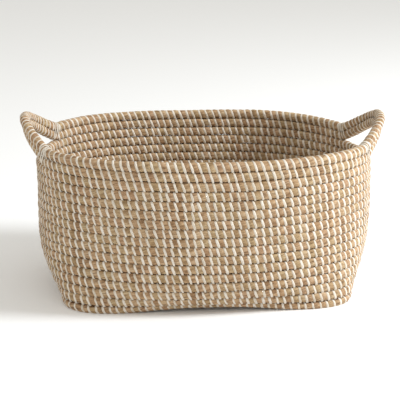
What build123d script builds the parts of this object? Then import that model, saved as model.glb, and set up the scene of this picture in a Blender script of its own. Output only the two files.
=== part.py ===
"""Coiled seagrass storage basket with two loop handles raised from the rim.

Units are millimetres. +Z is up, +X runs along the length towards one handle, and the
origin is on the floor at the centre of the footprint. Every turn of the seagrass coil is
its own solid, and so is every turn of the pale strip that binds it.
"""

import os
from math import atan2, cos, hypot, log2, pi, radians, sin, sqrt

from build123d import *

os.makedirs("parts", exist_ok=True)

# ---- driving dimensions --------------------------------------------------------------
COIL_RADIUS = 6.0  # bundle of seagrass under the binding
COIL_PITCH = 13.5  # centre to centre of neighbouring turns
BINDING_INNER = 6.08
BINDING_OUTER = 6.55
BINDING_WIDTH = 3.2
BINDING_SPACING = 10.7

OVERALL_LENGTH = 500.0  # outside of the wall, handles left out
OVERALL_DEPTH = 360.0
RIM_EXPONENT = 2.5  # 2 is an ellipse, higher is squarer
BASE_EXPONENT = 6.2

WALL_TURNS = 17  # two rim turns, fourteen wall turns and the base edge turn
SIDE_CURL_START = 10.6  # turn, counted from the rim, where the long sides begin to tuck in
END_CURL_START = 8.1
CURL_POWER = 2.5
FOOT_FLAT_DEPTH = 0.6  # how far the corner feet are pressed flat on the floor

HANDLE_REACH = 84.0  # half of the length of rim that is lifted into each handle
HANDLE_RISE = 36.5  # lift of the lower rim turn at the middle of the handle
HANDLE_OUTSET = 18.5
HANDLE_LEAN = 17.0  # degrees, how far the band of two turns leans outwards
HANDLE_FULLNESS = 1.25  # 2 is an even swell, lower stands more steeply out of the rim
HANDLE_BINDING_SPACING = 8.4
LASHING_STATIONS = (0.84, 0.90, 0.96)  # of HANDLE_REACH
LASHING_INNER = 6.75
LASHING_OUTER = 7.35
LASHING_WIDTH = 2.4

BASE_TURNS = 10  # between the core and the base edge turn
CORE_HALF_LENGTH = 60.0
INNER_CORNER = sqrt(1 / 2)  # of its half depth, how far a corner reaches; this one is round
OUTER_CORNER = 0.872  # the last base turn is nearly square
BASE_CORNER_DIP = {10: 0.6, 9: 0.3, 8: 0.1}  # share of the edge turn's corner dip

WALL_SAMPLES = 24  # points along a quarter of a turn
BASE_SAMPLES = 36
SECTIONS = 30  # straight lengths in a quarter of a turn
STEP = 1e-4  # radians, for directions along a turn
HALVINGS = 40  # of an angle range, to find a station on the rim
TOUCH = 1e-3
SPAN = 800.0  # larger than the basket, for cutting boxes

half_length = OVERALL_LENGTH / 2 - BINDING_OUTER
half_depth = OVERALL_DEPTH / 2 - BINDING_OUTER
edge_half_length = CORE_HALF_LENGTH + COIL_PITCH * (BASE_TURNS + 1)
edge_half_depth = COIL_PITCH * (BASE_TURNS + 1)


# ---- shape of the wall ---------------------------------------------------------------
def plan_point(angle, length, depth, exponent):
    """Point of a superellipse in the direction of angle, which is scaled to its axes."""
    c, s = cos(angle), sin(angle)
    reach = (abs(c) ** exponent + abs(s) ** exponent) ** (-1 / exponent)
    return length * c * reach, depth * s * reach


def curl(turn, angle):
    """Share, 0 to 1, of the way from the rim outline to the base outline."""
    end_share = cos(angle) ** 2
    start = SIDE_CURL_START * (1 - end_share) + END_CURL_START * end_share
    return max((turn - start) / (WALL_TURNS - 1 - start), 0.0) ** CURL_POWER


def drop(turn, angle):
    """Fall of a turn below the rim, keeping every turn one pitch from the last."""
    top = plan_point(angle, half_length, half_depth, RIM_EXPONENT)
    foot = plan_point(angle, edge_half_length, edge_half_depth, BASE_EXPONENT)
    tuck = hypot(foot[0] - top[0], foot[1] - top[1])
    fall = 0.0
    for step in range(1, turn + 1):
        slide = tuck * (curl(step, angle) - curl(step - 1, angle))
        fall += sqrt(COIL_PITCH**2 - slide**2)
    return fall


angles = [pi / 2 * i / WALL_SAMPLES for i in range(WALL_SAMPLES + 1)]
deepest = max(drop(WALL_TURNS - 1, angle) for angle in angles)
rim_height = COIL_RADIUS - FOOT_FLAT_DEPTH + deepest  # centre of the top turn


def wall_point(turn, angle):
    """Centre of a wall turn, before any handle is lifted out of it."""
    top = plan_point(angle, half_length, half_depth, RIM_EXPONENT)
    foot = plan_point(angle, edge_half_length, edge_half_depth, BASE_EXPONENT)
    share = curl(turn, angle)
    x = top[0] + share * (foot[0] - top[0])
    y = top[1] + share * (foot[1] - top[1])
    return Vector(x, y, rim_height - drop(turn, angle))


# ---- handles -------------------------------------------------------------------------
def handle_share(angle):
    """How far the rim is lifted at this angle: 1 at the middle of a handle, 0 outside."""
    y = wall_point(0, angle).Y
    if abs(y) >= HANDLE_REACH:
        return 0.0
    return cos(pi / 2 * y / HANDLE_REACH) ** HANDLE_FULLNESS


def lower_rim_point(angle):
    """Centre of the second turn, which carries the band of each handle."""
    share = handle_share(angle)
    lift = Vector(HANDLE_OUTSET * share, 0, HANDLE_RISE * share)
    return wall_point(1, angle) + lift


def band_direction(angle):
    """From the second turn to the top turn, square to the coil and leaning outwards."""
    along = (lower_rim_point(angle + STEP) - lower_rim_point(angle - STEP)).normalized()
    lean = radians(HANDLE_LEAN) * handle_share(angle)
    up = Vector(sin(lean), 0, cos(lean))
    return (up - along * up.dot(along)).normalized()


def top_rim_point(angle):
    return lower_rim_point(angle) + band_direction(angle) * COIL_PITCH


def turn_points(turn):
    """Centres along a quarter of one turn of the wall, from the handle to the long side."""
    if turn == 0:
        return [top_rim_point(angle) for angle in angles]
    if turn == 1:
        return [lower_rim_point(angle) for angle in angles]
    return [wall_point(turn, angle) for angle in angles]


# ---- shape of the base ---------------------------------------------------------------
base_level = wall_point(WALL_TURNS - 1, pi / 2).Z


def base_exponent(turn):
    """Squareness of the ends of a turn, so that the corners move out by equal steps."""
    step = (BASE_TURNS * OUTER_CORNER - INNER_CORNER) / (BASE_TURNS - 1)
    corner = (INNER_CORNER + step * (turn - 1)) / turn
    return -1 / log2(corner)


def base_outline(turn, share):
    """Point at a share of a quarter of a base turn, counted from the +X end."""
    depth = COIL_PITCH * turn
    bend = depth * pi / 2
    run = share * (bend + CORE_HALF_LENGTH)
    if run < bend:
        x, y = plan_point(run / depth, depth, depth, base_exponent(turn))
        return CORE_HALF_LENGTH + x, y
    return CORE_HALF_LENGTH + bend - run, depth


def base_point(turn, share):
    """Centre of a base turn. The outer turns follow the edge turn down at the corners."""
    x, y = base_outline(turn, share)
    length = CORE_HALF_LENGTH + COIL_PITCH * turn
    depth = COIL_PITCH * turn
    angle = atan2(y / depth, x / length)
    dip = base_level - wall_point(WALL_TURNS - 1, angle).Z
    return Vector(x, y, base_level - dip * BASE_CORNER_DIP.get(turn, 0.0))


# ---- helpers that set out the binding -------------------------------------------------
def stations(path, spacing):
    """Shares of a quarter path where the binding crosses it, half a space from its ends."""
    count = round(path.wires()[0].length / spacing)
    return [(i + 0.5) / count for i in range(count)]


def section(path, share, back=0.0):
    """Plane square to a path, set back along it, with its X axis level and outwards."""
    along = path % share
    outwards = along.cross(Vector(0, 0, 1))
    return Plane(origin=path @ share, x_dir=outwards, z_dir=along).offset(-back)


def all_round(quarter):
    """Join a quarter of a tube and its three mirror images end to end in one closed ring."""
    cut = [abs(f.center().X) < TOUCH or abs(f.center().Y) < TOUCH for f in quarter.faces()]
    skin = [face for face, is_cut in zip(quarter.faces(), cut) if not is_cut]
    skin += [face.mirror(Plane.XZ) for face in skin]
    skin += [face.mirror(Plane.YZ) for face in skin]
    return Solid(Shell(Face.sew_faces(skin)[0]))


def on_handle(y):
    """True on the raised part of a handle."""
    return y < HANDLE_REACH * LASHING_STATIONS[0] - BINDING_WIDTH


def clear_of_handle(y):
    return y > HANDLE_REACH * LASHING_STATIONS[-1] + BINDING_WIDTH


def binding_shares(turn, path):
    """Binding of a turn: closer on the handles, none where they are lashed."""
    wide = stations(path, BINDING_SPACING)
    if turn > 1:
        return wide
    close = stations(path, HANDLE_BINDING_SPACING)
    return [s for s in close if on_handle((path @ s).Y)] + [
        s for s in wide if clear_of_handle((path @ s).Y)
    ]


def turn_name(turn):
    names = {0: "rim_top", 1: "rim_lower", WALL_TURNS - 1: "base_edge"}
    return names.get(turn, f"wall_{turn + 1:02d}")


# ---- wall turns and their binding ------------------------------------------------------
# The basket is the same in all four quarters, so each turn is set out in the quarter
# where X and Y are positive and then mirrored.
AHEAD = Vector(0, 1, 0)
ACROSS = Vector(-1, 0, 0)

for turn in range(WALL_TURNS):
    with BuildPart() as quarter:
        with BuildLine() as centreline:
            Spline(*turn_points(turn), tangents=(AHEAD, ACROSS), tangent_scalars=(1, 1))
        for i in range(SECTIONS + 1):
            with BuildSketch(section(centreline.line, i / SECTIONS)):
                Circle(COIL_RADIUS)
        loft(ruled=True)
        if turn == WALL_TURNS - 1:
            with Locations((0, 0, -SPAN / 2)):
                Box(SPAN, SPAN, SPAN, mode=Mode.SUBTRACT)
    with BuildPart() as coil:
        add(all_round(quarter.part))
    coil.part.label = f"{turn_name(turn)}_coil"
    export_step(coil.part, f"parts/{coil.part.label}.step")

    with BuildPart() as binding:
        shares = binding_shares(turn, centreline.line)
        with BuildSketch(*[section(centreline.line, s, BINDING_WIDTH / 2) for s in shares]):
            Circle(BINDING_OUTER)
            Circle(BINDING_INNER, mode=Mode.SUBTRACT)
        extrude(amount=BINDING_WIDTH)
        if turn == WALL_TURNS - 1:
            with Locations((0, 0, -SPAN / 2)):
                Box(SPAN, SPAN, SPAN, mode=Mode.SUBTRACT)
        mirror(about=Plane.XZ)
        mirror(about=Plane.YZ)
    binding.part.label = f"{turn_name(turn)}_binding"
    export_step(binding.part, f"parts/{binding.part.label}.step")


# ---- base turns ----------------------------------------------------------------------
base_binding_planes = []
for turn in range(1, BASE_TURNS + 1):
    with BuildPart() as quarter:
        with BuildLine() as centreline:
            points = [base_point(turn, i / BASE_SAMPLES) for i in range(BASE_SAMPLES + 1)]
            Spline(*points, tangents=(AHEAD, ACROSS), tangent_scalars=(1, 1))
        for i in range(SECTIONS + 1):
            with BuildSketch(section(centreline.line, i / SECTIONS)):
                Circle(COIL_RADIUS)
        loft(ruled=True)
    with BuildPart() as coil:
        add(all_round(quarter.part))
    coil.part.label = f"base_{turn:02d}_coil"
    export_step(coil.part, f"parts/{coil.part.label}.step")
    for share in stations(centreline.line, BINDING_SPACING):
        base_binding_planes.append(section(centreline.line, share, BINDING_WIDTH / 2))

with BuildPart() as base_binding:
    with BuildSketch(*base_binding_planes):
        Circle(BINDING_OUTER)
        Circle(BINDING_INNER, mode=Mode.SUBTRACT)
    extrude(amount=BINDING_WIDTH)
    mirror(about=Plane.XZ)
    mirror(about=Plane.YZ)
base_binding.part.label = "base_binding"
export_step(base_binding.part, "parts/base_binding.step")

with BuildPart() as core:
    with BuildSketch(Plane.YZ.offset(-CORE_HALF_LENGTH)):
        with Locations((0, base_level)):
            Circle(COIL_RADIUS)
    extrude(amount=2 * CORE_HALF_LENGTH)
    ends = core.edges().filter_by(GeomType.CIRCLE)
    fillet(ends, COIL_RADIUS / 2)
core.part.label = "base_core_coil"
export_step(core.part, "parts/base_core_coil.step")

core_count = int((2 * CORE_HALF_LENGTH - COIL_PITCH) / BINDING_SPACING)
core_start = -(core_count - 1) / 2 * BINDING_SPACING - BINDING_WIDTH / 2
core_planes = []
for i in range(core_count):
    x = core_start + i * BINDING_SPACING
    core_planes.append(Plane(origin=(x, 0, base_level), z_dir=(1, 0, 0)))

with BuildPart() as core_binding:
    with BuildSketch(*core_planes):
        Circle(BINDING_OUTER)
        Circle(BINDING_INNER, mode=Mode.SUBTRACT)
    extrude(amount=BINDING_WIDTH)
core_binding.part.label = "base_core_binding"
export_step(core_binding.part, "parts/base_core_binding.step")


# ---- lashings at the roots of the handles ------------------------------------------------
def angle_at(y):
    """Angle round the rim, between a handle and the long side, where the wall is at y."""
    low, high = 0.0, pi / 2
    for _ in range(HALVINGS):
        middle = (low + high) / 2
        if wall_point(0, middle).Y < y:
            low = middle
        else:
            high = middle
    return low


lashing_planes = []
for share in LASHING_STATIONS:
    angle = angle_at(share * HANDLE_REACH)
    along = lower_rim_point(angle + STEP) - lower_rim_point(angle - STEP)
    across = band_direction(angle)
    middle = lower_rim_point(angle) + across * (COIL_PITCH / 2)
    lashing_planes.append(Plane(middle, x_dir=across, z_dir=along).offset(-LASHING_WIDTH / 2))

with BuildPart() as lashings:
    with BuildSketch(*lashing_planes):
        SlotCenterToCenter(COIL_PITCH, 2 * LASHING_OUTER)
        SlotCenterToCenter(COIL_PITCH, 2 * LASHING_INNER, mode=Mode.SUBTRACT)
    extrude(amount=LASHING_WIDTH)
    mirror(about=Plane.XZ)
lashings.part.label = "handle_right_lashings"
export_step(lashings.part, "parts/handle_right_lashings.step")

with BuildPart() as left_lashings:
    mirror(lashings.part, about=Plane.YZ)
left_lashings.part.label = "handle_left_lashings"
export_step(left_lashings.part, "parts/handle_left_lashings.step")
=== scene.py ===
import math

import bpy
import numpy as np
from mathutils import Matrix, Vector


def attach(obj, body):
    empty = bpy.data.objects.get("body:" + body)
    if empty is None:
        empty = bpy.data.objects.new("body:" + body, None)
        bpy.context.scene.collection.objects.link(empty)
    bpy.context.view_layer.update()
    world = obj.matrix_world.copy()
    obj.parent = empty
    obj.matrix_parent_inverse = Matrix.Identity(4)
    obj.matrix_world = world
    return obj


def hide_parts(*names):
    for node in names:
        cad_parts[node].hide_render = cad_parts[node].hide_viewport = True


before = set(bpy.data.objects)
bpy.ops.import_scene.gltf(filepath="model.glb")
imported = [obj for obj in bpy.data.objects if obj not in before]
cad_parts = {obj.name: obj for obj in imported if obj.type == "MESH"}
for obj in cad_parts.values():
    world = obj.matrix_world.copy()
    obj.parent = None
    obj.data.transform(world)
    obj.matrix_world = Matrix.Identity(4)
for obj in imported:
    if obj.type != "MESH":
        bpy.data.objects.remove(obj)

SEED = 7
rng = np.random.default_rng(SEED)
MM = 0.001
FULL_TURN = 2 * math.pi

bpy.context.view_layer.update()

# ---- dimensions of the solids, in millimetres ------------------------------------------
COIL_PITCH = 13.5
COIL_RADIUS = 6.0
BINDING_OUTER = 6.55
OVERALL_LENGTH = 500.0
OVERALL_DEPTH = 360.0
HALF_LENGTH = OVERALL_LENGTH / 2 - BINDING_OUTER
HALF_DEPTH = OVERALL_DEPTH / 2 - BINDING_OUTER
RIM_EXPONENT = 2.5
BASE_EXPONENT = 6.2
WALL_TURNS = 17
SIDE_CURL_START = 10.6
END_CURL_START = 8.1
CURL_POWER = 2.5
FOOT_FLAT_DEPTH = 0.6
HANDLE_REACH = 84.0
HANDLE_RISE = 36.5
HANDLE_OUTSET = 18.5
HANDLE_LEAN = 17.0
HANDLE_FULLNESS = 1.25
BASE_TURNS = 10
CORE_HALF_LENGTH = 60.0
INNER_CORNER = math.sqrt(0.5)  # of its half depth, how far a corner reaches; this one is round
OUTER_CORNER = 0.872
BASE_CORNER_DIP = {10: 0.6, 9: 0.3, 8: 0.1}
EDGE_HALF_LENGTH = CORE_HALF_LENGTH + COIL_PITCH * (BASE_TURNS + 1)
EDGE_HALF_DEPTH = COIL_PITCH * (BASE_TURNS + 1)

# ---- look of the rope and the binding ----------------------------------------------------
BULGE_RADIUS = 6.75  # of the rope between two stitches
PINCH = 0.75  # how far a stitch draws the rope in
PINCH_REACH = 2.3  # along the rope
SWELL_SPREAD = 0.16  # of the bulge, from one stitch to the next
STRAND_RELIEF = 0.22
STRAND_WAVES = 5
STRAND_REACH = 3.0  # from a stitch to where the strands stand fully proud
STRAND_FLOOR = 0.15  # share of their relief left under a stitch
STITCH_SPACING = 10.7
HANDLE_SPACING = 8.4
HANDLE_FADE = 15.0  # length over which the stitches close up
STITCH_WIDTH = 3.85
HANDLE_STITCH_WIDTH = 2.9
WIDTH_RANGE = (0.82, 1.15)
SEAM_WIDTH = 0.72  # of a stitch, where it dives into a seam
STITCH_THICKNESS = 0.95
STITCH_LIFT = 0.3  # share of the thickness that stands above the rope
ROPE_STEP = 1.35
ROPE_SIDES = 36
BASE_SIDES = ROPE_SIDES - 8
WRAP_STEPS = 22
LEAN_EASE = -0.35  # the strip leans more where it shows than in the seams
SQUARENESS = 3.1  # of the rope's section, pressed against its neighbours
BRIDGE = 0.24  # how much further out the strip runs where it crosses the seam below
BRIDGE_ANGLE = math.radians(32)  # from straight below
BRIDGE_SPREAD = 0.30
COLUMN_DRIFT = 0.07  # of a stitch, from one course to the next
COLUMN_SPREAD = 0.5  # unevenness of the columns of stitches
COLUMN_STITCH_SPREAD = 0.42  # of a stitch about its column
COLUMN_WAVE = 0.9
COLUMN_WAVES = 3  # round a course
COLUMN_WAVE_SHIFT = 0.23  # radians, from one course to the next
STITCH_SPREAD = 0.55  # unevenness of stitches that aren't in columns
STITCH_SPREAD_LIMIT = 1.2
FOOT_TILT = 0.5  # of the lowest turn, which is pressed by the wall and by the base
CORE_WRAPS = 10
CORE_TONE = 0.4
CORE_STITCH_TONE = 0.5
CORE_STITCH_LIFT = 0.2  # share of the thickness, above a rope that isn't drawn in
MOST_WIDENING = 1.35  # of the rope where the corners of the base fan out
WALL_POINTS = 1440
BASE_POINTS = 720
CORE_POINTS = 200
CORE_RINGS = 100
THINNEST = 0.02  # radius of the last ring of the core, as a share
TINY_ANGLE = 1e-4

# ---- lashings at the roots of the handles ------------------------------------------------
LASHING_FROM = 0.86  # shares of HANDLE_REACH
LASHING_TO = 0.99
LASHING_SHIFT = 0.01
LASHING_WRAPS = 3
LASHING_STEPS = 48
LASHING_RISE = 7.0  # from the centre of the rope
LASHING_WIDTH = 2.4
LASHING_UNEVENNESS = 0.12  # of its width
LASHING_TUCK = 2.2  # how deep its ends dive in
LASHING_ENDS = 9  # each end dives in over a ninth of a wrap
LASHING_TONE = 0.62

# ---- camera ------------------------------------------------------------------------------
CAMERA_TARGET = Vector((0.0, 0.0, 0.110))
CAMERA_DISTANCE = 1.8009
CAMERA_ELEVATION = math.radians(16.323)
CAMERA_YAW = math.radians(3.648)
CAMERA_LENS = 105.8
CAMERA_SHIFT = (-0.00836, 0.0217)
SENSOR_WIDTH = 36.0


# ---- centrelines -------------------------------------------------------------------------
def plan_point(angle, length, depth, exponent):
    c, s = np.cos(angle), np.sin(angle)
    reach = (np.abs(c) ** exponent + np.abs(s) ** exponent) ** (-1 / exponent)
    return length * c * reach, depth * s * reach


def curl(turn, angle):
    end_share = np.cos(angle) ** 2
    start = SIDE_CURL_START * (1 - end_share) + END_CURL_START * end_share
    return np.maximum((turn - start) / (WALL_TURNS - 1 - start), 0.0) ** CURL_POWER


def tuck_length(angle):
    top = plan_point(angle, HALF_LENGTH, HALF_DEPTH, RIM_EXPONENT)
    foot = plan_point(angle, EDGE_HALF_LENGTH, EDGE_HALF_DEPTH, BASE_EXPONENT)
    return np.hypot(foot[0] - top[0], foot[1] - top[1])


def drop(turn, angle):
    tuck = tuck_length(angle)
    fall = np.zeros_like(angle)
    for step in range(1, turn + 1):
        slide = tuck * (curl(step, angle) - curl(step - 1, angle))
        fall = fall + np.sqrt(COIL_PITCH**2 - slide**2)
    return fall


quarter_angles = np.linspace(0, math.pi / 2, 97)
RIM_HEIGHT = COIL_RADIUS - FOOT_FLAT_DEPTH + drop(WALL_TURNS - 1, quarter_angles).max()


def wall_path(turn, angle):
    tx, ty = plan_point(angle, HALF_LENGTH, HALF_DEPTH, RIM_EXPONENT)
    fx, fy = plan_point(angle, EDGE_HALF_LENGTH, EDGE_HALF_DEPTH, BASE_EXPONENT)
    share = curl(turn, angle)
    z = RIM_HEIGHT - drop(turn, angle)
    return np.stack([tx + share * (fx - tx), ty + share * (fy - ty), z], -1)


def handle_share(angle):
    y = np.abs(wall_path(0, angle)[:, 1])
    swell = np.cos(math.pi / 2 * np.minimum(y / HANDLE_REACH, 1)) ** HANDLE_FULLNESS
    return np.where(y < HANDLE_REACH, swell, 0.0)


def lower_rim_path(angle):
    share = handle_share(angle)
    path = wall_path(1, angle)
    path[:, 0] += np.sign(np.cos(angle)) * HANDLE_OUTSET * share
    path[:, 2] += HANDLE_RISE * share
    return path


def unit(v):
    return v / np.maximum(np.linalg.norm(v, axis=-1, keepdims=True), 1e-12)


def top_rim_path(angle):
    along = unit(lower_rim_path(angle + TINY_ANGLE) - lower_rim_path(angle - TINY_ANGLE))
    lean = math.radians(HANDLE_LEAN) * handle_share(angle)
    up = np.stack([np.sign(np.cos(angle)) * np.sin(lean), 0 * lean, np.cos(lean)], -1)
    up = unit(up - along * (up * along).sum(-1, keepdims=True))
    return lower_rim_path(angle) + up * COIL_PITCH


BASE_LEVEL = wall_path(WALL_TURNS - 1, np.array([math.pi / 2]))[0, 2]


def base_exponent(turn):
    step = (BASE_TURNS * OUTER_CORNER - INNER_CORNER) / (BASE_TURNS - 1)
    return -1 / math.log2((INNER_CORNER + step * (turn - 1)) / turn)


def base_path(turn, samples):
    """A turn of the base: half-superellipse ends joined by straight lengths."""
    depth = COIL_PITCH * turn
    bend = math.pi / 2 * depth
    quarter = bend + CORE_HALF_LENGTH
    run = np.linspace(0, 4 * quarter, samples, endpoint=False)
    lap, part = np.divmod(run, quarter)
    back = lap % 2 == 1
    part = np.where(back, quarter - part, part)
    x, y = plan_point(np.minimum(part / depth, math.pi / 2), depth, depth, base_exponent(turn))
    x = x + CORE_HALF_LENGTH - np.maximum(part - bend, 0)
    x = x * np.where((lap == 1) | (lap == 2), -1, 1)
    y = y * np.where(lap >= 2, -1, 1)
    angle = np.arctan2(y / depth, x / (CORE_HALF_LENGTH + depth))
    dip = BASE_LEVEL - wall_path(WALL_TURNS - 1, angle)[:, 2]
    return np.stack([x, y, BASE_LEVEL - dip * BASE_CORNER_DIP.get(turn, 0.0)], -1)


# ---- slow waves that make the basket look hand made -----------------------------------------
WAVE_COUNT = 10
WAVE_RATE = np.array([0.020, 0.024, 0.030])  # radians a millimetre along x, y and z
WAVE_HEIGHT = 0.32
WAVE_FADE = 30.0  # height over which the vertical part grows from nothing at the floor
PHASES = 6.28  # random phases are drawn from 0 to here
waves = [
    (rng.normal(size=3) * WAVE_RATE, rng.uniform(0, PHASES), rng.normal(size=3))
    for _ in range(WAVE_COUNT)
]

# Where, how wide, how far in x and z, and the heights over which it grows, in millimetres:
# the rim droops at the back right and a little in front, and the front right foot stands wide.
HAND_SHAPING = [
    ((235.0, 75.0), (85.0, 90.0), (0.0, -7.0), (20.0, 200.0)),
    ((0.0, -175.0), (120.0, 60.0), (0.0, -2.2), (20.0, 200.0)),
    ((205.0, -130.0), (70.0, 60.0), (2.5, 0.0), (150.0, 30.0)),
]


def sway(points):
    """Small smooth offset, in millimetres, that depends only on where a point is."""
    out = np.zeros_like(points)
    for rate, phase, direction in waves:
        out += np.sin(points @ rate + phase)[:, None] * direction * WAVE_HEIGHT
    out[:, 2] *= np.clip(points[:, 2] / WAVE_FADE, 0, 1)
    for (x, y), (spread_x, spread_y), (shift_x, shift_z), (low, high) in HAND_SHAPING:
        near = np.exp(-(((points[:, 0] - x) / spread_x) ** 2) - ((points[:, 1] - y) / spread_y) ** 2)
        near *= np.clip((points[:, 2] - low) / (high - low), 0, 1)
        out[:, 0] += shift_x * near
        out[:, 2] += shift_z * near
    return out


def resample(points, ups, step):
    """Evenly spaced points round a closed path with their directions, and its length."""
    both = np.hstack([points, ups])
    closed = np.vstack([both, both[:1]])
    leg = np.linalg.norm(np.diff(closed[:, :3], axis=0), axis=1)
    at = np.concatenate([[0], np.cumsum(leg)])
    n = int(round(at[-1] / step))
    s = np.linspace(0, at[-1], n, endpoint=False)
    out = np.stack([np.interp(s, at, closed[:, i]) for i in range(closed.shape[1])], -1)
    return out[:, :3], out[:, 3:], s, at[-1]


class Turn:
    """One closed turn of rope: its centreline, its directions and its stitch positions."""

    def __init__(self, points, ups, handle=False, column=None, seams=(1.0, 1.0), widen=1.0):
        free = np.stack([np.broadcast_to(v, len(points)) for v in (*seams, widen)], -1)
        self.points, rest, self.s, self.length = resample(points, np.hstack([ups, free]), ROPE_STEP)
        self.seam_above, self.seam_below, self.widen = rest[:, 3], rest[:, 4], rest[:, 5]
        ahead = np.roll(self.points, -1, 0) - np.roll(self.points, 1, 0)
        self.along = unit(ahead)
        up = rest[:, :3] - self.along * (rest[:, :3] * self.along).sum(-1, keepdims=True)
        self.up = unit(up)
        self.outward = np.cross(self.along, self.up)
        self.points = self.points + sway(self.points)
        self.lay_stitches(handle, column)

    def lay_stitches(self, handle, column):
        self.width_at = np.full(len(self.s), STITCH_WIDTH)
        if column is not None:
            self.wraps = len(COLUMN_JITTER)
            start = column * COLUMN_DRIFT
            jitter = COLUMN_JITTER + np.clip(rng.normal(0, COLUMN_STITCH_SPREAD, self.wraps), -1, 1)
            wave = np.arange(self.wraps) / self.wraps * COLUMN_WAVES * FULL_TURN
            jitter += COLUMN_WAVE * np.sin(wave + column * COLUMN_WAVE_SHIFT)
            knots = (np.arange(self.wraps) + start) / self.wraps * self.length + jitter
            self.knots = np.concatenate([knots, [knots[0] + self.length]])
        else:
            density = np.full(len(self.s), 1 / STITCH_SPACING)
            if handle:
                share = np.clip((HANDLE_REACH - np.abs(self.points[:, 1])) / HANDLE_FADE, 0, 1)
                density += share * (1 / HANDLE_SPACING - 1 / STITCH_SPACING)
                self.width_at += share * (HANDLE_STITCH_WIDTH - STITCH_WIDTH)
            step = self.length / len(self.s)
            count = np.concatenate([[0], np.cumsum(density * step)])
            self.wraps = int(round(count[-1]))
            count *= self.wraps / count[-1]
            at = np.concatenate([self.s, [self.length]])
            knots = np.interp(np.arange(self.wraps + 1), count, at)
            jitter = rng.normal(0, STITCH_SPREAD, self.wraps + 1)
            jitter = np.clip(jitter, -STITCH_SPREAD_LIMIT, STITCH_SPREAD_LIMIT)
            jitter[-1] = jitter[0]
            self.knots = knots + jitter
        self.wrap_width = rng.uniform(*WIDTH_RANGE, self.wraps)
        self.wrap_tone = rng.uniform(0, 1, self.wraps)

    def place(self, count):
        """Distance along the turn after a number of wraps, which may be fractional."""
        whole = np.floor(count).astype(int)
        part = count - whole
        lap, i = np.divmod(whole, self.wraps)
        return lap * self.length + self.knots[i] * (1 - part) + self.knots[i + 1] * part

    def at(self, s):
        """Centre and directions at any distance along the turn."""
        n = len(self.s)
        f = (s / self.length * n) % n
        i = np.floor(f).astype(int) % n
        t = (f - np.floor(f))[:, None]
        j = (i + 1) % n

        def mix(a):
            return a[i] * (1 - t) + a[j] * t

        return mix(self.points), unit(mix(self.along)), unit(mix(self.outward)), unit(mix(self.up))

    def widened(self, offset, up, s):
        """Offset from the centreline, stretched along up where the rope is wide."""
        extra = (np.interp(s % self.length, self.s, self.widen) - 1)[:, None]
        return offset + up[:, None, :] * (offset * up[:, None, :]).sum(-1, keepdims=True) * extra[..., None]


def eased(count):
    """Wraps counted along the rope for wraps counted round it."""
    return count + LEAN_EASE * np.sin(4 * math.pi * count) / (4 * math.pi)


def pressed(phi, above, below):
    """How much further out the rope reaches than a round one where it is pressed."""
    c, s = np.abs(np.cos(phi)), np.abs(np.sin(phi))
    power = 2 + (SQUARENESS - 2) * np.where(np.cos(phi) > 0, above, below)
    return (c**power + s**power) ** (-1 / power)


def make_mesh(name, verts, faces, uvs, tones, seams):
    mesh = bpy.data.meshes.new(name)
    verts = np.asarray(verts, dtype=np.float32) * MM
    faces = np.asarray(faces, dtype=np.int32)
    mesh.vertices.add(len(verts))
    mesh.vertices.foreach_set("co", verts.ravel())
    mesh.loops.add(faces.size)
    mesh.loops.foreach_set("vertex_index", faces.ravel())
    mesh.polygons.add(len(faces))
    mesh.polygons.foreach_set("loop_start", np.arange(0, faces.size, 4, dtype=np.int32))
    mesh.polygons.foreach_set("loop_total", np.full(len(faces), 4, dtype=np.int32))
    mesh.update(calc_edges=True)
    layer = mesh.uv_layers.new(name="strand")
    layer.data.foreach_set("uv", np.asarray(uvs, dtype=np.float32).reshape(-1, 2).ravel())
    for label, values in (("tone", tones), ("seam", seams)):
        attr = mesh.attributes.new(label, "FLOAT", "POINT")
        attr.data.foreach_set("value", np.asarray(values, dtype=np.float32))
    mesh.polygons.foreach_set("use_smooth", np.ones(len(faces), dtype=bool))
    mesh.validate()
    obj = bpy.data.objects.new(name, mesh)
    bpy.context.scene.collection.objects.link(obj)
    return obj


def strand_relief(turn, s, phi):
    """Height of the strands above the rope's mean surface, closed both ways round."""
    out = np.zeros_like(phi)
    for _ in range(STRAND_WAVES):
        strands = rng.integers(6, 11)
        twists = rng.integers(18, 60)
        phase = rng.uniform(0, PHASES)
        out += np.cos(strands * phi + FULL_TURN * twists * s / turn.length + phase)
    out = np.abs(out) ** 0.8
    return out - out.mean()


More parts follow.
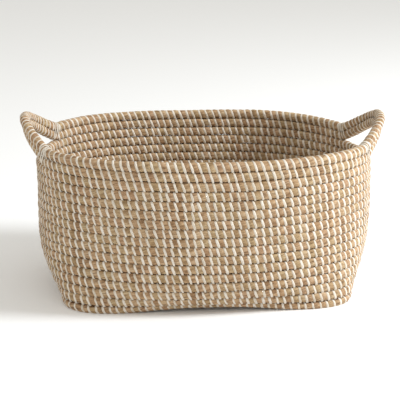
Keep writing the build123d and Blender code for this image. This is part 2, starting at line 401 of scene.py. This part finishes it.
def rope(turn, sides, flat_floor=False):
    """Seagrass rope, drawn in under every stitch and swelling between them."""
    n = len(turn.s)
    phi = np.linspace(-math.pi, math.pi, sides, endpoint=False)
    S, PHI = np.meshgrid(turn.s, phi, indexing="ij")
    once, laps = np.arange(turn.wraps), (-1, 0, 1)
    knots = np.concatenate([turn.knots[:-1] + lap * turn.length for lap in laps])
    counts = np.concatenate([once + lap * turn.wraps for lap in laps])
    count = np.interp(S.ravel(), knots, counts).reshape(S.shape)
    phase = count - eased(PHI / FULL_TURN)
    off = np.abs(phase - np.round(phase))
    gap = off * (turn.length / turn.wraps)
    radius = BULGE_RADIUS - PINCH * np.exp(-((gap / PINCH_REACH) ** 2))
    radius += STRAND_RELIEF * strand_relief(turn, S, PHI) * np.clip(gap / STRAND_REACH, STRAND_FLOOR, 1)
    seg = np.floor(phase).astype(int) % turn.wraps
    swell = rng.normal(0, SWELL_SPREAD, turn.wraps)
    radius += swell[seg] * np.clip(off * 2, 0, 1) ** 0.5
    radius *= pressed(PHI, turn.seam_above[:, None], turn.seam_below[:, None])
    centre = turn.points[:, None, :]
    ring = turn.up[:, None, :] * np.cos(PHI)[..., None] + turn.outward[:, None, :] * np.sin(PHI)[..., None]
    verts = centre + turn.widened(ring * radius[..., None], turn.up, turn.s)
    if flat_floor:
        verts[..., 2] = np.maximum(verts[..., 2], 0.0)
    tone = rng.uniform(0, 1, turn.wraps)[seg]
    i = np.arange(n)
    j = np.arange(sides)
    I, J = np.meshgrid(i, j, indexing="ij")
    I2, J2 = (I + 1) % n, (J + 1) % sides
    faces = np.stack([I * sides + J, I * sides + J2, I2 * sides + J2, I2 * sides + J], -1).reshape(-1, 4)
    step = turn.length / n
    u0, u1 = I * step * MM, (I + 1) * step * MM
    v0, v1 = J / sides, (J + 1) / sides
    uvs = np.stack([u0, v0, u0, v1, u1, v1, u1, v0], -1).reshape(-1, 8)
    # mask for the painted shade on the rope, towards the turns above and below
    seam = turn.seam_above[:, None] * np.clip(np.cos(PHI), 0, 1)
    seam = seam + turn.seam_below[:, None] * np.clip(-np.cos(PHI), 0, 1)
    return verts.reshape(-1, 3), faces, uvs, tone.ravel(), seam.ravel()


# section of the strip, in shares of its width and thickness
SECTION = np.array(
    [[-0.5, -0.25], [-0.42, 0.28], [-0.17, 0.5], [0.17, 0.5], [0.42, 0.28], [0.5, -0.25]]
)
STRIP_STEP = FULL_TURN * COIL_RADIUS / WRAP_STEPS


def binding(turn, flat_floor=False):
    """One strip wound round the rope for the whole turn."""
    total = turn.wraps * WRAP_STEPS
    count = np.arange(total) / WRAP_STEPS
    s = turn.place(eased(count))
    phi = FULL_TURN * count
    centre, along, outward, up = turn.at(s)
    radial = up * np.cos(phi)[:, None] + outward * np.sin(phi)[:, None]
    around = -up * np.sin(phi)[:, None] + outward * np.cos(phi)[:, None]
    advance = turn.length / turn.wraps / FULL_TURN * (1 + LEAN_EASE * np.cos(2 * phi))
    helix = unit(along * advance[:, None] + around * COIL_RADIUS)
    across = unit(np.cross(helix, radial))
    across *= np.sign((across * along).sum(-1, keepdims=True))
    whole = np.floor(count).astype(int)
    part = count - whole
    nxt = (whole + 1) % turn.wraps
    blend = part * part * (3 - 2 * part)
    width = turn.wrap_width[whole] * (1 - blend) + turn.wrap_width[nxt] * blend
    width = width * np.interp(s % turn.length, turn.s, turn.width_at)
    # the strip narrows where it dives into the seam between two turns
    width = width * (SEAM_WIDTH + (1 - SEAM_WIDTH) * np.abs(np.sin(phi)) ** 0.7)
    above = np.interp(s % turn.length, turn.s, turn.seam_above)
    below = np.interp(s % turn.length, turn.s, turn.seam_below)
    rise = (BULGE_RADIUS - PINCH) * pressed(phi, above, below) + STITCH_THICKNESS * STITCH_LIFT
    # on its way down the strip bridges the seam before it dives into it
    from_below = np.abs(np.abs(np.mod(phi, FULL_TURN) - math.pi) - BRIDGE_ANGLE)
    rise = (rise * (1 + BRIDGE * below * np.exp(-((from_below / BRIDGE_SPREAD) ** 2))))[:, None]
    k = len(SECTION)
    offset = across[:, None, :] * (SECTION[None, :, 0] * width[:, None])[..., None]
    offset = offset + radial[:, None, :] * (rise + SECTION[None, :, 1] * STITCH_THICKNESS)[..., None]
    verts = centre[:, None, :] + turn.widened(offset, up, s)
    if flat_floor:
        verts[..., 2] = np.maximum(verts[..., 2], 0.0)
    tone = turn.wrap_tone[whole] * (1 - blend) + turn.wrap_tone[nxt] * blend
    i = np.arange(total)
    j = np.arange(k)
    I, J = np.meshgrid(i, j, indexing="ij")
    I2, J2 = (I + 1) % total, (J + 1) % k
    faces = np.stack([I * k + J, I2 * k + J, I2 * k + J2, I * k + J2], -1).reshape(-1, 4)
    u0, u1 = I * STRIP_STEP * MM, (I + 1) * STRIP_STEP * MM
    v0, v1 = J / k, (J + 1) / k
    uvs = np.stack([u0, v0, u1, v0, u1, v1, u0, v1], -1).reshape(-1, 8)
    seam = above * np.clip(np.cos(phi), 0, 1) + below * np.clip(-np.cos(phi), 0, 1)
    return verts.reshape(-1, 3), faces, uvs, np.repeat(tone, k), np.repeat(seam, k)


def open_strip(centre, radial, along, width, rise, tone):
    """A strip with two ends, which dive inwards and are closed."""
    n, k = len(centre), len(SECTION)
    ahead = unit(np.gradient(centre + radial * rise[:, None], axis=0))
    across = unit(np.cross(ahead, radial))
    across *= np.sign((across * along).sum(-1, keepdims=True))
    verts = (
        centre[:, None, :]
        + across[:, None, :] * (SECTION[None, :, 0] * width[:, None])[..., None]
        + radial[:, None, :] * (rise[:, None] + SECTION[None, :, 1] * STITCH_THICKNESS)[..., None]
    )
    I, J = np.meshgrid(np.arange(n - 1), np.arange(k), indexing="ij")
    J2 = (J + 1) % k
    faces = np.stack([I * k + J, (I + 1) * k + J, (I + 1) * k + J2, I * k + J2], -1).reshape(-1, 4)
    u0, u1 = I * STRIP_STEP * MM, (I + 1) * STRIP_STEP * MM
    v0, v1 = J / k, (J + 1) / k
    uvs = np.stack([u0, v0, u1, v0, u1, v1, u0, v1], -1).reshape(-1, 8)
    last = (n - 1) * k
    cap = np.array([[0, 1, 2, 5], [5, 2, 3, 4]])
    caps = np.vstack([cap, last + cap[:, ::-1]])
    faces = np.vstack([faces, caps])
    uvs = np.vstack([uvs, np.zeros((len(caps), 8))])
    return verts.reshape(-1, 3), faces, uvs, np.full(n * k, tone), np.zeros(n * k)


# ---- materials --------------------------------------------------------------------------------
def new_material(name):
    mat = bpy.data.materials.new(name)
    mat.use_nodes = True
    nodes, links = mat.node_tree.nodes, mat.node_tree.links
    nodes.clear()
    out = nodes.new("ShaderNodeOutputMaterial")
    bsdf = nodes.new("ShaderNodeBsdfPrincipled")
    links.new(bsdf.outputs["BSDF"], out.inputs["Surface"])
    return mat, nodes, links, bsdf


def srgb(r, g, b):
    lin = [((c / 255 + 0.055) / 1.055) ** 2.4 if c > 10 else c / 255 / 12.92 for c in (r, g, b)]
    return (*lin, 1.0)


def ramp(nodes, stops):
    node = nodes.new("ShaderNodeValToRGB")
    while len(node.color_ramp.elements) < len(stops):
        node.color_ramp.elements.new(0.5)
    for element, (pos, colour) in zip(node.color_ramp.elements, stops):
        element.position = pos
        element.color = colour
    return node


def seagrass_material():
    mat, nodes, links, bsdf = new_material("seagrass")
    uv = nodes.new("ShaderNodeUVMap")
    uv.uv_map = "strand"
    split = nodes.new("ShaderNodeSeparateXYZ")
    links.new(uv.outputs["UV"], split.inputs[0])
    twist = nodes.new("ShaderNodeMath")
    twist.operation = "MULTIPLY_ADD"
    links.new(split.outputs[0], twist.inputs[0])
    twist.inputs[1].default_value = 5.0
    links.new(split.outputs[1], twist.inputs[2])
    fibre = nodes.new("ShaderNodeCombineXYZ")
    links.new(split.outputs[0], fibre.inputs[0])
    links.new(twist.outputs[0], fibre.inputs[1])
    tone = nodes.new("ShaderNodeAttribute")
    tone.attribute_name = "tone"
    links.new(tone.outputs["Fac"], fibre.inputs[2])

    def streaks(scale_u, scale_v, detail, seed):
        mapping = nodes.new("ShaderNodeMapping")
        mapping.inputs["Scale"].default_value = (scale_u, scale_v, 1.0)
        mapping.inputs["Location"].default_value = (seed, seed * 1.7, seed * 0.3)
        links.new(fibre.outputs[0], mapping.inputs["Vector"])
        noise = nodes.new("ShaderNodeTexNoise")
        noise.inputs["Scale"].default_value = 1.0
        noise.inputs["Detail"].default_value = detail
        noise.inputs["Roughness"].default_value = 0.6
        links.new(mapping.outputs[0], noise.inputs["Vector"])
        return noise

    broad = streaks(60.0, 9.0, 3.0, 3.1)
    fine = streaks(70.0, 40.0, 4.0, 7.9)
    colour = ramp(
        nodes,
        [
            (0.30, srgb(144, 120, 92)),
            (0.44, srgb(178, 154, 126)),
            (0.56, srgb(197, 176, 150)),
            (0.72, srgb(215, 200, 177)),
        ],
    )
    links.new(broad.outputs["Fac"], colour.inputs[0])
    tint = ramp(
        nodes,
        [
            (0.0, srgb(240, 214, 196)),
            (0.3, srgb(248, 238, 220)),
            (0.6, srgb(226, 220, 184)),
            (0.8, srgb(240, 216, 186)),
            (1.0, srgb(206, 176, 142)),
        ],
    )
    links.new(tone.outputs["Fac"], tint.inputs[0])

    def multiplied(first, second, amount):
        mix = nodes.new("ShaderNodeMix")
        mix.data_type = "RGBA"
        mix.blend_type = "MULTIPLY"
        mix.inputs["Factor"].default_value = amount
        links.new(first, mix.inputs["A"])
        links.new(second, mix.inputs["B"])
        return mix.outputs["Result"]

    tinted = multiplied(colour.outputs[0], tint.outputs[0], 0.55)
    streak = ramp(nodes, [(0.34, srgb(112, 84, 58)), (0.47, srgb(236, 226, 212)), (1.0, (1, 1, 1, 1))])
    links.new(fine.outputs["Fac"], streak.inputs[0])
    streaked = multiplied(tinted, streak.outputs[0], 0.8)
    # painted shade: the rope is darkened where it is pressed against the next turn, broken up by the fibre
    seam = nodes.new("ShaderNodeAttribute")
    seam.attribute_name = "seam"
    ragged = nodes.new("ShaderNodeMath")
    ragged.operation = "MULTIPLY_ADD"
    links.new(broad.outputs["Fac"], ragged.inputs[0])
    ragged.inputs[1].default_value = -0.22
    links.new(seam.outputs["Fac"], ragged.inputs[2])
    painted_crease_shade = ramp(nodes, [(0.77, (1, 1, 1, 1)), (0.90, srgb(146, 112, 76))])
    links.new(ragged.outputs[0], painted_crease_shade.inputs[0])
    links.new(multiplied(streaked, painted_crease_shade.outputs[0], 1.0), bsdf.inputs["Base Color"])
    bsdf.inputs["Roughness"].default_value = 0.78
    bsdf.inputs["Specular IOR Level"].default_value = 0.3
    bump = nodes.new("ShaderNodeBump")
    bump.inputs["Strength"].default_value = 0.7
    bump.inputs["Distance"].default_value = 0.0006
    links.new(fine.outputs["Fac"], bump.inputs["Height"])
    links.new(bump.outputs[0], bsdf.inputs["Normal"])
    return mat


def binding_material():
    mat, nodes, links, bsdf = new_material("binding_strip")
    uv = nodes.new("ShaderNodeUVMap")
    uv.uv_map = "strand"
    mapping = nodes.new("ShaderNodeMapping")
    mapping.inputs["Scale"].default_value = (160.0, 9.0, 1.0)
    links.new(uv.outputs["UV"], mapping.inputs["Vector"])
    noise = nodes.new("ShaderNodeTexNoise")
    noise.inputs["Scale"].default_value = 1.0
    noise.inputs["Detail"].default_value = 3.0
    links.new(mapping.outputs[0], noise.inputs["Vector"])
    tone = nodes.new("ShaderNodeAttribute")
    tone.attribute_name = "tone"
    shade = ramp(
        nodes,
        [
            (0.0, srgb(200, 190, 173)),
            (0.4, srgb(216, 208, 195)),
            (0.8, srgb(226, 219, 208)),
            (1.0, srgb(208, 199, 185)),
        ],
    )
    links.new(tone.outputs["Fac"], shade.inputs[0])
    grain = ramp(nodes, [(0.3, srgb(205, 188, 160)), (0.55, (1, 1, 1, 1))])
    links.new(noise.outputs["Fac"], grain.inputs[0])
    mix = nodes.new("ShaderNodeMix")
    mix.data_type = "RGBA"
    mix.blend_type = "MULTIPLY"
    mix.inputs["Factor"].default_value = 0.6
    links.new(shade.outputs[0], mix.inputs["A"])
    links.new(grain.outputs[0], mix.inputs["B"])
    links.new(mix.outputs["Result"], bsdf.inputs["Base Color"])
    bsdf.inputs["Roughness"].default_value = 0.5
    bsdf.inputs["Specular IOR Level"].default_value = 0.4
    bump = nodes.new("ShaderNodeBump")
    bump.inputs["Strength"].default_value = 0.4
    bump.inputs["Distance"].default_value = 0.0004
    links.new(noise.outputs["Fac"], bump.inputs["Height"])
    links.new(bump.outputs[0], bsdf.inputs["Normal"])
    return mat


SEAGRASS = seagrass_material()
STRIP = binding_material()


def finish_piece(obj, material, node):
    obj.data.materials.append(material)
    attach(obj, "root")
    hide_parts(node)


# ---- wall -------------------------------------------------------------------------------------
angles = np.linspace(0, FULL_TURN, WALL_POINTS, endpoint=False)
UP = np.array([0.0, 0.0, 1.0])
lifted = handle_share(angles)
courses = [top_rim_path(angles), lower_rim_path(angles)]
courses += [wall_path(t, angles) for t in range(2, WALL_TURNS)]
wall_length = resample(courses[2], courses[2] * 0, ROPE_STEP)[3]
COLUMN_JITTER = np.clip(rng.normal(0, COLUMN_SPREAD, int(round(wall_length / STITCH_SPACING))), -1, 1)


def level_outward(path):
    """Level direction square to a path, away from the middle of the basket."""
    ahead = np.roll(path, -1, 0) - np.roll(path, 1, 0)
    return unit(np.cross(unit(ahead), UP))


for t in range(WALL_TURNS):
    name = {0: "rim_top", 1: "rim_lower", WALL_TURNS - 1: "base_edge"}.get(t, f"wall_{t + 1:02d}")
    above, below = 1.0, 1.0
    if t == 0:
        ups = courses[0] - courses[1]
        above = 0.0
    elif t == 1:
        ups = (courses[0] - courses[1]) + (courses[1] - courses[2]) * (lifted == 0)[:, None]
        below = np.clip(1 - 4 * lifted, 0, 1)
    elif t == 2:
        ups = wall_path(1, angles) - courses[3]
        above = np.clip(1 - 4 * lifted, 0, 1)
    elif t < WALL_TURNS - 1:
        ups = courses[t - 1] - courses[t + 1]
    else:
        ups = unit(courses[t - 1] - courses[t]) + FOOT_TILT * level_outward(courses[t])
    turn = Turn(courses[t], ups, handle=t < 2, column=t if t > 1 else None, seams=(above, below))
    low = t == WALL_TURNS - 1
    body = make_mesh(f"seagrass_{name}", *rope(turn, ROPE_SIDES, low))
    finish_piece(body, SEAGRASS, f"{name}_coil")
    wrap = make_mesh(f"stitching_{name}", *binding(turn, low))
    finish_piece(wrap, STRIP, f"{name}_binding")

# ---- base -------------------------------------------------------------------------------------
def spacing(path, other):
    """Distance from every point of one path to the nearest point of another."""
    return np.sqrt(((path[:, None] - other[None]) ** 2).sum(-1)).min(1)


core_line = np.linspace([-CORE_HALF_LENGTH, 0, BASE_LEVEL], [CORE_HALF_LENGTH, 0, BASE_LEVEL], CORE_POINTS)
base_paths = [core_line, *(base_path(t, BASE_POINTS) for t in range(1, BASE_TURNS + 1)), courses[-1]]
base_parts = []
for t in range(1, BASE_TURNS + 1):
    path = base_paths[t]
    # where the corners fan out, the rope is as wide as the space it has
    room = (spacing(path, base_paths[t - 1]) + spacing(path, base_paths[t + 1])) / 2
    widen = np.clip(room / COIL_PITCH, 1.0, MOST_WIDENING)
    turn = Turn(path, level_outward(path), widen=widen)
    body = make_mesh(f"seagrass_base_{t:02d}", *rope(turn, BASE_SIDES))
    finish_piece(body, SEAGRASS, f"base_{t:02d}_coil")
    base_parts.append(binding(turn))


def joined(parts):
    """Several pieces' worth of mesh data as one."""
    verts, faces, uvs, tones, seams, offset = [], [], [], [], [], 0
    for v, f, u, t, m in parts:
        verts.append(v)
        faces.append(f + offset)
        uvs.append(u)
        tones.append(t)
        seams.append(m)
        offset += len(v)
    return np.vstack(verts), np.vstack(faces), np.vstack(uvs), np.concatenate(tones), np.concatenate(seams)


finish_piece(make_mesh("stitching_base", *joined(base_parts)), STRIP, "base_binding")

# ---- core of the base ---------------------------------------------------------------------------
core_reach = CORE_HALF_LENGTH + COIL_RADIUS
core_x = core_reach * np.sin(np.linspace(-math.pi / 2, math.pi / 2, CORE_RINGS))
core_end = np.clip(np.abs(core_x) - core_reach + BULGE_RADIUS, 0, None) / BULGE_RADIUS
core_taper = np.sqrt(np.clip(1 - core_end**2, THINNEST**2, 1))
core_phi = np.linspace(-math.pi, math.pi, ROPE_SIDES, endpoint=False)
core_ring = np.stack([0 * core_phi, np.sin(core_phi), np.cos(core_phi)], -1)
core_verts = core_ring[None] * (BULGE_RADIUS * core_taper)[:, None, None]
core_verts[..., 0] += core_x[:, None]
core_verts[..., 2] += BASE_LEVEL
core_verts = core_verts.reshape(-1, 3)
I, J = np.meshgrid(np.arange(CORE_RINGS - 1), np.arange(ROPE_SIDES), indexing="ij")
I2, J2 = I + 1, (J + 1) % ROPE_SIDES
core_faces = np.stack(
    [I * ROPE_SIDES + J, I2 * ROPE_SIDES + J, I2 * ROPE_SIDES + J2, I * ROPE_SIDES + J2], -1
).reshape(-1, 4)
u0, u1 = core_x[I] * MM, core_x[I2] * MM
v0, v1 = J / ROPE_SIDES, (J + 1) / ROPE_SIDES
core_uvs = np.stack([u0, v0, u1, v0, u1, v1, u0, v1], -1).reshape(-1, 8)
core_tones = np.full(len(core_verts), CORE_TONE)
core = make_mesh("seagrass_base_core", core_verts, core_faces, core_uvs, core_tones, 0 * core_tones)
finish_piece(core, SEAGRASS, "base_core_coil")

count = np.linspace(0, CORE_WRAPS, CORE_WRAPS * WRAP_STEPS + 1)
turn_angle = FULL_TURN * count
level = 0 * count
centre = np.stack([(count - CORE_WRAPS / 2) * STITCH_SPACING, level, level + BASE_LEVEL], -1)
radial = np.stack([level, np.sin(turn_angle), np.cos(turn_angle)], -1)
along = np.tile([1.0, 0.0, 0.0], (len(count), 1))
rise = level + BULGE_RADIUS + STITCH_THICKNESS * CORE_STITCH_LIFT
core_strip = open_strip(centre, radial, along, level + STITCH_WIDTH, rise, CORE_STITCH_TONE)
core_wrap = make_mesh("stitching_base_core", *core_strip)
finish_piece(core_wrap, STRIP, "base_core_binding")

# ---- lashings at the roots of the handles ----------------------------------------------------------
def angle_at(y):
    """Angle round the rim, between the +X end and the long side, where the wall is at y."""
    quarter = np.linspace(0, math.pi / 2, 2000)
    return np.interp(y, wall_path(0, quarter)[:, 1], quarter)


def lashing(side_x, side_y, shift):
    """Strip wound round both turns of the rim where a handle rises out of it."""
    lap = np.linspace(0, LASHING_WRAPS, LASHING_WRAPS * LASHING_STEPS + 1)
    share = LASHING_FROM + (LASHING_TO - LASHING_FROM) * lap / LASHING_WRAPS + shift
    a = angle_at(share * HANDLE_REACH)
    low, top = lower_rim_path(a), top_rim_path(a)
    up = unit(top - low)
    fwd = unit(lower_rim_path(a + TINY_ANGLE) - lower_rim_path(a - TINY_ANGLE))
    out = np.cross(fwd, up)
    straight, bend = COIL_PITCH, math.pi * LASHING_RISE
    run = (lap % 1.0) * 2 * (straight + bend)
    centre, radial = np.zeros_like(low), np.zeros_like(low)
    for i, r in enumerate(run):
        if r < straight:
            centre[i], radial[i] = low[i] + up[i] * r, out[i]
        elif r < straight + bend:
            t = (r - straight) / LASHING_RISE
            centre[i], radial[i] = top[i], out[i] * math.cos(t) + up[i] * math.sin(t)
        elif r < 2 * straight + bend:
            centre[i], radial[i] = top[i] - up[i] * (r - straight - bend), -out[i]
        else:
            t = (r - 2 * straight - bend) / LASHING_RISE
            centre[i], radial[i] = low[i], -out[i] * math.cos(t) - up[i] * math.sin(t)
    flip = np.array([side_x, side_y, 1.0])
    centre, radial, fwd = centre * flip, radial * flip, fwd * flip
    centre = centre + sway(centre)
    ends = np.clip(np.minimum(lap, LASHING_WRAPS - lap) * LASHING_ENDS, 0, 1)
    rise = LASHING_RISE - LASHING_TUCK * (1 - ends) ** 2
    uneven = LASHING_UNEVENNESS * np.sin(lap * 5.1 + side_x + 2 * side_y)
    width = LASHING_WIDTH * (0.9 + uneven)
    verts, faces, uvs, tones, seams = open_strip(centre, radial, fwd, width, rise, LASHING_TONE)
    if side_x * side_y < 0:
        faces = faces[:, ::-1]
        uvs = uvs.reshape(-1, 4, 2)[:, ::-1].reshape(-1, 8)
    return verts, faces, uvs, tones, seams


for side_name, side_x in (("right", 1), ("left", -1)):
    strips = [lashing(side_x, side_y, rng.uniform(-LASHING_SHIFT, LASHING_SHIFT)) for side_y in (-1, 1)]
    lashed = make_mesh(f"lashing_{side_name}", *joined(strips))
    finish_piece(lashed, STRIP, f"handle_{side_name}_lashings")

# ---- floor, light and camera -------------------------------------------------------------------------
def flat_material(name, colour, rough):
    mat, nodes, links, bsdf = new_material(name)
    tint = nodes.new("ShaderNodeRGB")
    tint.outputs[0].default_value = colour
    links.new(tint.outputs[0], bsdf.inputs["Base Color"])
    bsdf.inputs["Roughness"].default_value = rough
    return mat


bpy.ops.mesh.primitive_plane_add(size=30, location=(0, 0, 0))
floor = bpy.context.object
floor.name = "floor"
floor.data.materials.append(flat_material("floor_white", (0.95, 0.95, 0.95, 1.0), 0.9))

scene = bpy.context.scene
scene.view_settings.view_transform = "Standard"
world = bpy.data.worlds.new("studio")
scene.world = world
world.use_nodes = True
background = world.node_tree.nodes["Background"]
background.inputs["Color"].default_value = (1.0, 0.985, 0.935, 1.0)
background.inputs["Strength"].default_value = 0.72


LIT_POINT = Vector((0, 0, 0.12))


def area_light(name, location, size, energy, colour):
    data = bpy.data.lights.new(name, "AREA")
    data.shape = "DISK"
    data.size = size
    data.energy = energy
    data.color = colour
    obj = bpy.data.objects.new(name, data)
    scene.collection.objects.link(obj)
    obj.location = location
    obj.rotation_euler = (LIT_POINT - obj.location).to_track_quat("-Z", "Y").to_euler()


area_light("key", (2.58, -0.50, 1.6), size=0.8, energy=100, colour=(0.955, 0.99, 1.03))
area_light("fill", (-1.6, -1.9, 1.3), size=1.6, energy=6, colour=(0.95, 0.98, 1.0))

camera_data = bpy.data.cameras.new("camera")
camera = bpy.data.objects.new("camera", camera_data)
scene.collection.objects.link(camera)
camera.location = CAMERA_TARGET + CAMERA_DISTANCE * Vector(
    (
        -math.sin(CAMERA_YAW) * math.cos(CAMERA_ELEVATION),
        -math.cos(CAMERA_YAW) * math.cos(CAMERA_ELEVATION),
        math.sin(CAMERA_ELEVATION),
    )
)
camera.rotation_euler = (CAMERA_TARGET - camera.location).to_track_quat("-Z", "Y").to_euler()
camera_data.sensor_width = SENSOR_WIDTH
camera_data.lens = CAMERA_LENS
camera_data.shift_x, camera_data.shift_y = CAMERA_SHIFT
scene.camera = camera
